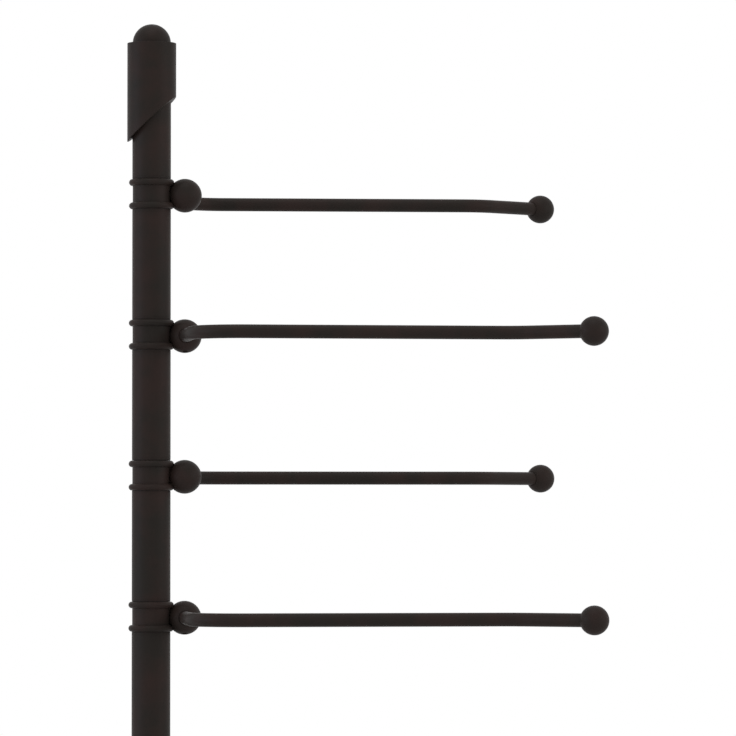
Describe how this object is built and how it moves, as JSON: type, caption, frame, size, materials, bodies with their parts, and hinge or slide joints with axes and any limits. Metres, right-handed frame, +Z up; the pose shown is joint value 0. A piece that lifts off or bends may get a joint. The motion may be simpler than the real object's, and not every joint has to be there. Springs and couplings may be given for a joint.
{
  "type": "swing arm towel stand",
  "caption": "Free-standing towel stand: a tall round post on a round weighted base, with bent towel bars that swivel on beaded ring collars, ball ends, and an oblique-cut sleeve under a dome.",
  "frame": {"origin": "on the floor, under the axis of the post, at the middle of the base", "axes": "+Z is up along the post, +X is the way the arms reach at rest, +Y is the side that the first and third arms bow out to"},
  "size_m": [0.4839, 0.3196, 1.2446],
  "materials": {
    "dark_bronze": "satin oil-rubbed bronze",
    "plain_steel": "zinc plated",
    "black_steel": "black oxide",
    "cast_iron": "rough cast, painted",
    "black_nylon": "matte",
    "pad_rubber": "matte"
  },
  "bodies": {
    "post": {"floor_pad": "pad_rubber", "base_weight": "cast_iron", "base_cover": "dark_bronze", "base_collar": "dark_bronze", "foot_plug": "plain_steel", "lower_tube": "dark_bronze", "tie_rod": "plain_steel", "base_washer": "plain_steel", "base_nut": "plain_steel", "upper_tube": "dark_bronze", "top_plug": "plain_steel", "top_washer": "plain_steel", "top_nut": "plain_steel", "dome_finial": "dark_bronze", "top_sleeve": "dark_bronze", "sleeve_screw": "black_steel", "spacer_tube_1": "dark_bronze", "spacer_tube_2": "dark_bronze", "spacer_tube_3": "dark_bronze", "hub_1": "dark_bronze", "hub_2": "dark_bronze", "hub_3": "dark_bronze", "hub_4": "dark_bronze", "hub_cap_1": "dark_bronze", "hub_cap_2": "dark_bronze", "hub_cap_3": "dark_bronze", "hub_cap_4": "dark_bronze", "thrust_washers_1": "black_nylon", "thrust_washers_2": "black_nylon", "thrust_washers_3": "black_nylon", "thrust_washers_4": "black_nylon"},
    "arm_1": {"swivel_collar_1": "dark_bronze", "collar_bush_1": "black_nylon", "ball_screw_1": "plain_steel", "pivot_ball_1": "dark_bronze", "grub_screw_1": "black_steel", "arm_rod_1": "dark_bronze", "end_ball_1": "dark_bronze"},
    "arm_2": {"swivel_collar_2": "dark_bronze", "collar_bush_2": "black_nylon", "ball_screw_2": "plain_steel", "pivot_ball_2": "dark_bronze", "grub_screw_2": "black_steel", "arm_rod_2": "dark_bronze", "end_ball_2": "dark_bronze"},
    "arm_3": {"swivel_collar_3": "dark_bronze", "collar_bush_3": "black_nylon", "ball_screw_3": "plain_steel", "pivot_ball_3": "dark_bronze", "grub_screw_3": "black_steel", "arm_rod_3": "dark_bronze", "end_ball_3": "dark_bronze"},
    "arm_4": {"swivel_collar_4": "dark_bronze", "collar_bush_4": "black_nylon", "ball_screw_4": "plain_steel", "pivot_ball_4": "dark_bronze", "grub_screw_4": "black_steel", "arm_rod_4": "dark_bronze", "end_ball_4": "dark_bronze"}
  },
  "joints": [
    {"name": "arm_1_swivel", "type": "hinge", "parent": "post", "child": "arm_1", "pos_m": [0, 0, 1.1033], "axis": [0, 0, 1], "continuous": true},
    {"name": "arm_2_swivel", "type": "hinge", "parent": "post", "child": "arm_2", "pos_m": [0, 0, 0.9875], "axis": [0, 0, 1], "continuous": true},
    {"name": "arm_3_swivel", "type": "hinge", "parent": "post", "child": "arm_3", "pos_m": [0, 0, 0.8717], "axis": [0, 0, 1], "continuous": true},
    {"name": "arm_4_swivel", "type": "hinge", "parent": "post", "child": "arm_4", "pos_m": [0, 0, 0.7559], "axis": [0, 0, 1], "continuous": true}
  ]
}
